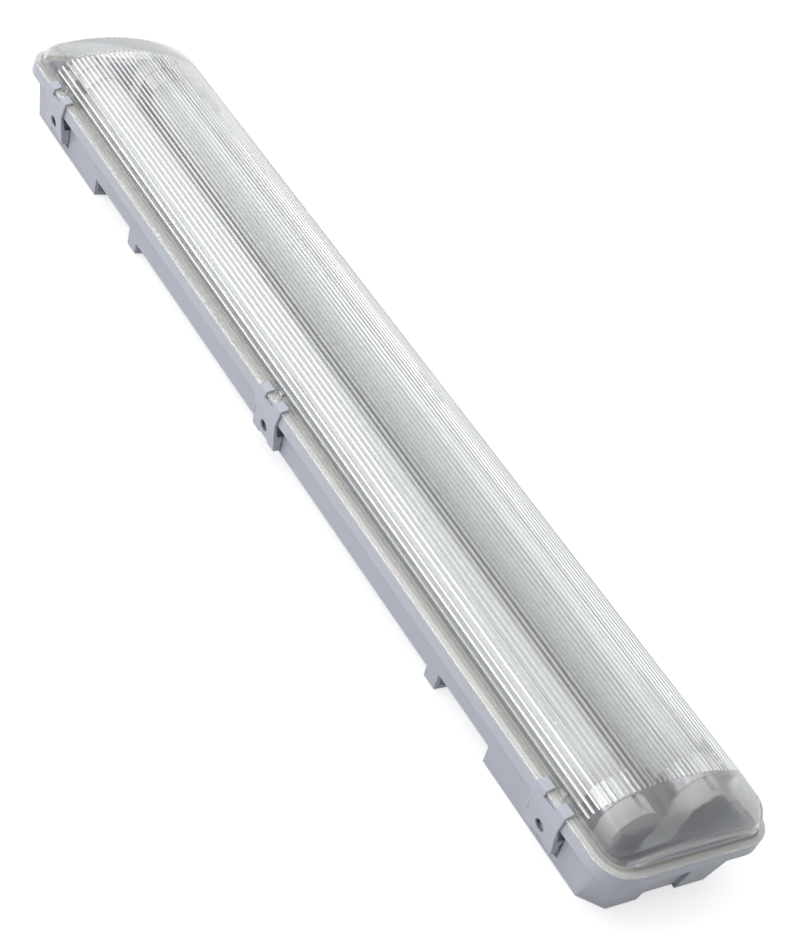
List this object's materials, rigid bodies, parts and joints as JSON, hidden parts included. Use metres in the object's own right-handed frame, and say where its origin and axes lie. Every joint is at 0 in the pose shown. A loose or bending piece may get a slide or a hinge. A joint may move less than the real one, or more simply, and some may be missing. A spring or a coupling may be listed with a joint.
{
  "type": "vapor-tight light",
  "caption": "Sealed tube-lamp batten light with a moulded tub, clear ribbed diffuser held by hinged side clips, gasket, gear tray and lampholders.",
  "frame": {"origin": "centre of the flat back, on the mounting plane", "axes": "+X along the length towards the near end of the picture, +Y away from the visible long side, +Z out of the mounting plane towards the diffuser"},
  "size_m": [0.66, 0.1154, 0.0598],
  "materials": {
    "body_grey": "light blue-grey moulded polycarbonate, satin",
    "clip_plastic": "light blue-grey moulded plastic, satin",
    "gasket_foam": "pale cream foam gasket",
    "lens_clear": "clear ribbed acrylic or polycarbonate",
    "tray_white": "white painted sheet steel",
    "holder_white": "white moulded plastic",
    "cap_aluminium": "bright aluminium",
    "lamp_glass": "white coated lamp glass",
    "steel": "zinc plated steel",
    "brass": "brass terminals",
    "loom_white": "white wire sleeve",
    "grommet_rubber": "dark grey rubber"
  },
  "bodies": {
    "fitting": {"housing": "body_grey", "gasket": "gasket_foam", "diffuser": "lens_clear", "tray": "tray_white", "tray_screws": "steel", "holder_left_far": "holder_white", "holder_left_near": "holder_white", "holder_right_far": "holder_white", "holder_right_near": "holder_white", "terminal_block": "holder_white", "terminal_screws": "brass", "loom_near": "loom_white", "loom_far": "loom_white", "cable_grommet": "grommet_rubber"},
    "latch_left_far": {"clip_left_far": "clip_plastic", "pin_left_far": "steel"},
    "latch_left_mid": {"clip_left_mid": "clip_plastic", "pin_left_mid": "steel"},
    "latch_left_near": {"clip_left_near": "clip_plastic", "pin_left_near": "steel"},
    "latch_right_far": {"clip_right_far": "clip_plastic", "pin_right_far": "steel"},
    "latch_right_mid": {"clip_right_mid": "clip_plastic", "pin_right_mid": "steel"},
    "latch_right_near": {"clip_right_near": "clip_plastic", "pin_right_near": "steel"},
    "lamp_left": {"glass_left": "lamp_glass", "cap_left_far": "cap_aluminium", "cap_left_near": "cap_aluminium", "rotor_left_far": "holder_white", "rotor_left_near": "holder_white"},
    "lamp_right": {"glass_right": "lamp_glass", "cap_right_far": "cap_aluminium", "cap_right_near": "cap_aluminium", "rotor_right_far": "holder_white", "rotor_right_near": "holder_white"}
  },
  "joints": [
    {"name": "clip_left_far_open", "type": "hinge", "parent": "fitting", "child": "latch_left_far", "pos_m": [-0.28, -0.048, 0.0126], "axis": [1, 0, 0], "range_deg": [0, 85]},
    {"name": "clip_left_mid_open", "type": "hinge", "parent": "fitting", "child": "latch_left_mid", "pos_m": [0, -0.048, 0.0126], "axis": [1, 0, 0], "range_deg": [0, 85]},
    {"name": "clip_left_near_open", "type": "hinge", "parent": "fitting", "child": "latch_left_near", "pos_m": [0.28, -0.048, 0.0126], "axis": [1, 0, 0], "range_deg": [0, 85]},
    {"name": "clip_right_far_open", "type": "hinge", "parent": "fitting", "child": "latch_right_far", "pos_m": [-0.28, 0.048, 0.0126], "axis": [-1, 0, 0], "range_deg": [0, 85]},
    {"name": "clip_right_mid_open", "type": "hinge", "parent": "fitting", "child": "latch_right_mid", "pos_m": [0, 0.048, 0.0126], "axis": [-1, 0, 0], "range_deg": [0, 85]},
    {"name": "clip_right_near_open", "type": "hinge", "parent": "fitting", "child": "latch_right_near", "pos_m": [0.28, 0.048, 0.0126], "axis": [-1, 0, 0], "range_deg": [0, 85]},
    {"name": "lamp_left_turn", "type": "hinge", "parent": "fitting", "child": "lamp_left", "pos_m": [0, -0.0237, 0.0348], "axis": [1, 0, 0], "range_deg": [0, 90]},
    {"name": "lamp_right_turn", "type": "hinge", "parent": "fitting", "child": "lamp_right", "pos_m": [0, 0.0237, 0.0348], "axis": [1, 0, 0], "range_deg": [0, 90]}
  ]
}
